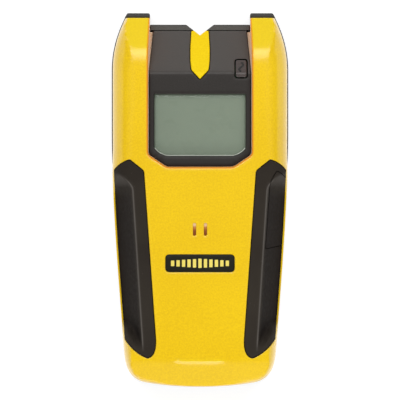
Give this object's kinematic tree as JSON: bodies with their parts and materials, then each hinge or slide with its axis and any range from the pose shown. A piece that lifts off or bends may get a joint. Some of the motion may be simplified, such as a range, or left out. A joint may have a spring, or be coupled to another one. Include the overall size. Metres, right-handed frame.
{
  "type": "stud finder",
  "caption": "Hand-held wall scanner with a grey-green display, a pencil notch between two ears, rubber side grips, a side scan key and a battery door.",
  "frame": {"origin": "on the plane of the glide pads, under the middle of the tool's bounding box", "axes": "+Z out of the display face, away from the wall; +Y towards the marking notch and the two ears; +X towards the scan key's side"},
  "size_m": [0.0764, 0.1616, 0.0358],
  "materials": {
    "housing_yellow": "moulded ABS with a fine spark texture",
    "housing_dark": "moulded ABS with a fine spark texture",
    "panel_dark": "satin moulded ABS",
    "window_clear": "clear polished acrylic",
    "lcd": "grey-green reflective LCD, switched off",
    "lens_smoke": "smoked translucent acrylic",
    "badge_black": "smooth satin black, blank",
    "grip_rubber": "overmoulded elastomer, matte",
    "component_black": "moulded black plastic",
    "board_green": "solder mask over glass-epoxy",
    "copper_plate": "etched copper foil",
    "buzzer_brass": "thin rolled brass",
    "ceramic_white": "silvered piezo ceramic",
    "tinned_metal": "tin or nickel plated",
    "capacitor_sleeve": "shrunk plastic sleeve",
    "battery_jacket": "plain printed steel jacket",
    "lead_red": "PVC insulation",
    "lead_black": "PVC insulation",
    "screw_steel": "zinc plated",
    "glide_felt": "pressed felt",
    "label_film": "blank printed film"
  },
  "bodies": {
    "body": {"front_housing": "housing_yellow", "rear_housing": "housing_dark", "display_panel": "panel_dark", "marking_insert": "housing_yellow", "display_window": "window_clear", "lcd_glass": "lcd", "lcd_frame": "panel_dark", "zebra_strip_upper": "grip_rubber", "zebra_strip_lower": "grip_rubber", "warning_lens": "lens_smoke", "warning_led": "lens_smoke", "badge_plate": "badge_black", "grip_left": "grip_rubber", "grip_right": "grip_rubber", "switch_body": "component_black", "main_board": "board_green", "sensor_board": "board_green", "sensor_plate_1": "copper_plate", "sensor_plate_2": "copper_plate", "sensor_plate_3": "copper_plate", "board_link": "component_black", "controller_chip": "component_black", "crystal": "tinned_metal", "capacitor": "capacitor_sleeve", "buzzer_disc": "buzzer_brass", "buzzer_ceramic": "ceramic_white", "buzzer_ring": "grip_rubber", "battery_cell": "battery_jacket", "battery_terminal_plus": "tinned_metal", "battery_terminal_minus": "tinned_metal", "battery_snap": "component_black", "battery_foam": "grip_rubber", "lead_red": "lead_red", "lead_black": "lead_black", "housing_screw_1": "screw_steel", "housing_screw_2": "screw_steel", "housing_screw_3": "screw_steel", "housing_screw_4": "screw_steel", "board_screw_1": "screw_steel", "board_screw_2": "screw_steel", "board_screw_3": "screw_steel", "board_screw_4": "screw_steel", "glide_pad_1": "glide_felt", "glide_pad_2": "glide_felt", "glide_pad_3": "glide_felt", "glide_pad_4": "glide_felt", "rating_label": "label_film"},
    "button": {"scan_button": "grip_rubber", "button_carrier": "housing_dark"},
    "plunger": {"switch_plunger": "component_black"},
    "door": {"battery_door": "housing_dark"}
  },
  "joints": [
    {"name": "button_press", "type": "hinge", "parent": "body", "child": "button", "pos_m": [0.0282, -0.006, 0.0335], "axis": [0, 1, 0], "range_deg": [0, 2.9], "stiffness_Nm_per_rad": 0.5},
    {"name": "switch_travel", "type": "slide", "parent": "body", "child": "plunger", "axis": [-1, 0, 0], "range_m": [0, 0.0007]},
    {"name": "battery_door_hinge", "type": "hinge", "parent": "body", "child": "door", "pos_m": [0, -0.02, 0.002], "axis": [1, 0, 0], "range_deg": [0, 95]}
  ],
  "couplings": [
    {"joint": "switch_travel", "follows": "button_press", "m_per_rad": 0.0125}
  ]
}
